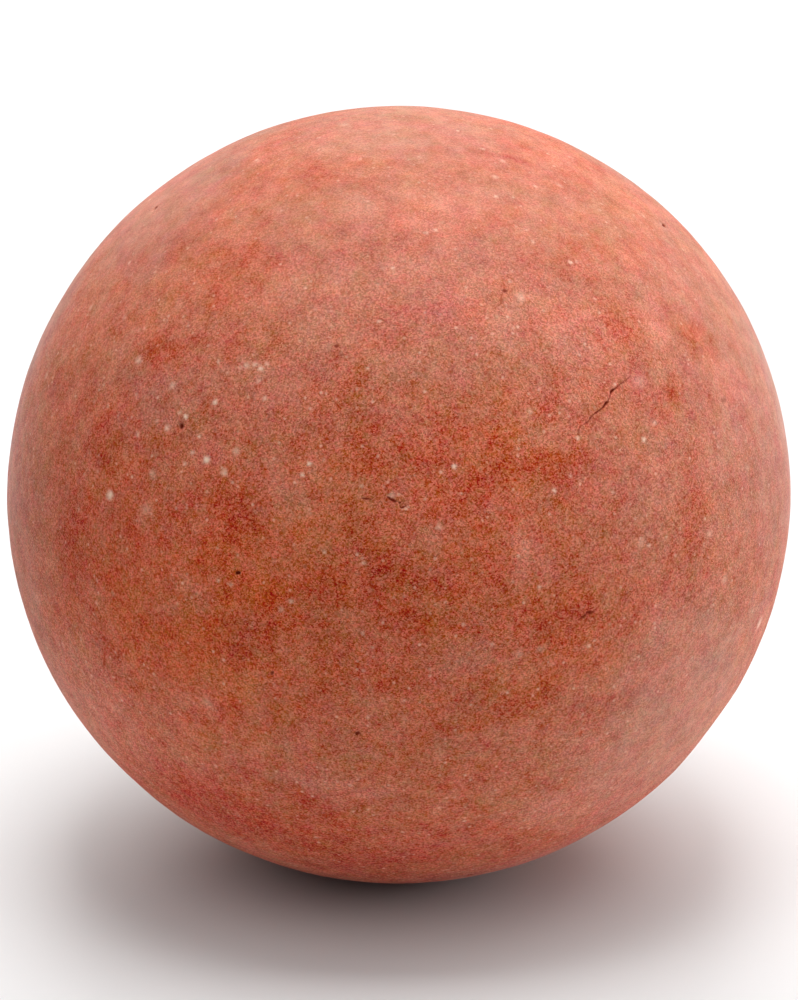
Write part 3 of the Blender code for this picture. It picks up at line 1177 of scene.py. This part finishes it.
def make_camera(stage, middle):
    """A long lens, so that the ball is seen nearly square on."""
    data = bpy.data.cameras.new("camera")
    data.lens = stage.lens
    data.clip_start = CLIP_START
    camera = placed("camera", data)
    rise = math.degrees(stage.view_rise)
    camera.location = middle + Vector(towards(0, rise)) * stage.view_distance
    up = Vector(towards(180, 90 - rise))
    aim(camera, middle - up * stage.view_drop)
    bpy.context.scene.camera = camera


def aim(thing, target):
    """Turns a camera or a light towards a point, upright."""
    thing.rotation_euler = (target - thing.location).to_track_quat("-Z", "Y").to_euler()


def make_floor(stage):
    """A round sheet, flat below the stone's foot. The point at share s of its radius and angle t is
    (s cos t, s sin t) times the radius. Inside the first ring, four-sided faces meet at the middle."""
    shares = np.linspace(FLOOR_HUB, 1, FLOOR_RINGS)
    angles = np.linspace(0, 2 * math.pi, FLOOR_SPOKES, endpoint=False)
    share, angle = np.meshgrid(shares, angles, indexing="ij")
    points = np.stack([share * np.cos(angle), share * np.sin(angle), 0 * share], axis=-1)
    points = np.concatenate([points.reshape(-1, 3) * FLOOR_RADIUS, np.zeros((1, 3))]) - (0, 0, FLOOR_DROP)
    index = np.arange(share.size).reshape(share.shape)
    after = np.roll(index, -1, axis=1)
    rings = np.stack([index[:-1], index[1:], after[1:], after[:-1]], axis=-1).reshape(-1, 4)
    first = index[0, 0::2]
    second = index[0, 1::2]
    hub = np.stack([first, second, np.roll(first, -1), np.full_like(first, share.size)], axis=-1)
    floor = mesh_piece("floor", points, np.concatenate([rings, hub]))
    floor.data.materials.append(floor_material(stage))


def make_panel(name, turn, rise, brightness, middle):
    """A soft square light that faces the stone. Its power is brightness * pi * its area."""
    data = bpy.data.lights.new(name, "AREA")
    data.shape = "SQUARE"
    data.size = PANEL_WIDTH
    data.energy = brightness * math.pi * PANEL_WIDTH**2
    light = placed(name, data)
    light.location = middle + Vector(towards(turn, rise)) * PANEL_DISTANCE
    aim(light, middle)


class ShapeStone(bpy.types.Operator):
    """Shapes and finishes the stone"""

    bl_idname = "maifan.shape_stone"
    bl_label = "Shape stone"

    def execute(self, context):
        shape = context.scene.maifan_shape
        finish = context.scene.maifan_finish
        stone = make_stone(shape)
        stone.data.materials.append(stone_material(shape, finish))
        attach(stone, BODY)
        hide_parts(NODE)
        return {"FINISHED"}


class SetStage(bpy.types.Operator):
    """Puts the camera, the floor and the light around the stone"""

    bl_idname = "maifan.set_stage"
    bl_label = "Set stage"

    def execute(self, context):
        scene = context.scene
        stage = scene.maifan_stage
        middle = Vector((0, 0, height_of_middle(scene.maifan_shape)))
        make_camera(stage, middle)
        make_floor(stage)
        for panel in PANELS:
            make_panel(*panel, middle)
        world = bpy.data.worlds.new("surroundings")
        world.use_nodes = True
        background = world.node_tree.nodes["Background"]
        background.inputs["Color"].default_value = WHITE
        background.inputs["Strength"].default_value = stage.surroundings
        scene.world = world
        scene.view_settings.view_transform = "Standard"
        scene.view_settings.look = "None"
        return {"FINISHED"}


class StonePanel(bpy.types.Panel):
    """Lists the stone's steps and settings"""

    bl_idname = "VIEW3D_PT_maifan_stone"
    bl_label = "Maifan Stone"
    bl_space_type = "VIEW_3D"
    bl_region_type = "UI"
    bl_category = "Maifan Stone"

    def draw(self, context):
        layout = self.layout
        operators = (ShapeStone, None, SetStage)
        for operator, (group, _) in zip(operators, GROUPS):
            box = layout.box()
            settings = getattr(context.scene, group)
            for name in settings.__annotations__:
                box.prop(settings, name)
            if operator:
                box.operator(operator.bl_idname)


GROUPS = (("maifan_shape", StoneShape), ("maifan_finish", StoneFinish), ("maifan_stage", StageSettings))
CLASSES = (StoneShape, StoneFinish, StageSettings, ShapeStone, SetStage, StonePanel)


def register():
    for cls in CLASSES:
        bpy.utils.register_class(cls)
    for name, group in GROUPS:
        setattr(bpy.types.Scene, name, bpy.props.PointerProperty(type=group))


def unregister():
    for name, _ in GROUPS:
        delattr(bpy.types.Scene, name)
    for cls in reversed(CLASSES):
        bpy.utils.unregister_class(cls)


def main():
    register()
    bpy.ops.maifan.set_stage()
    bpy.ops.maifan.shape_stone()


if __name__ == "__main__":
    main()
